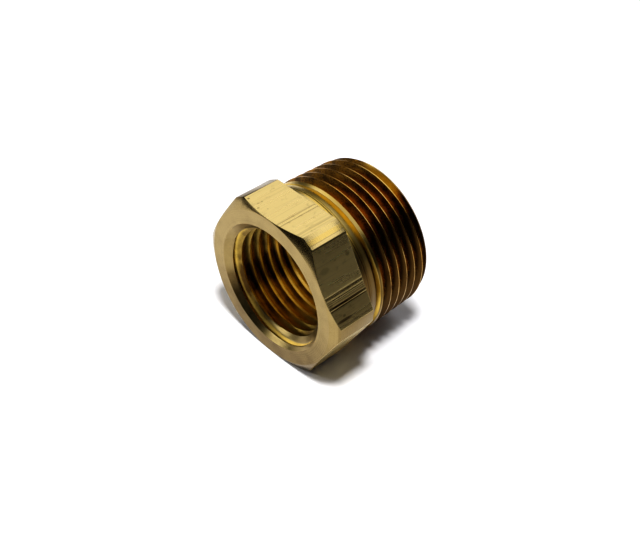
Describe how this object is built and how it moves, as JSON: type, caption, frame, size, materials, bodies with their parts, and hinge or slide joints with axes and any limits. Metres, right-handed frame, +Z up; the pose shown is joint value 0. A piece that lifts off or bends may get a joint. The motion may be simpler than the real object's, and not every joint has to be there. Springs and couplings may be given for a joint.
{
  "type": "hex reducing bushing",
  "caption": "Short brass pipe reducer: a hexagon with a tapered pipe thread outside and a smaller pipe thread inside, chamfered at its mouth and tip.",
  "frame": {"origin": "on the floor under the middle of the bushing, which lies on one hexagon flat", "axes": "+Y along the threads' common axis, from the female mouth in the hexagon's face to the male tip; +Z up, square to the flat it rests on; +X to a hexagon corner"},
  "size_m": [0.03, 0.0222, 0.027],
  "materials": {
    "brass": "turned and milled, lightly tarnished in the grooves"
  },
  "bodies": {
    "root": {"hex_bushing": "brass"}
  },
  "joints": []
}
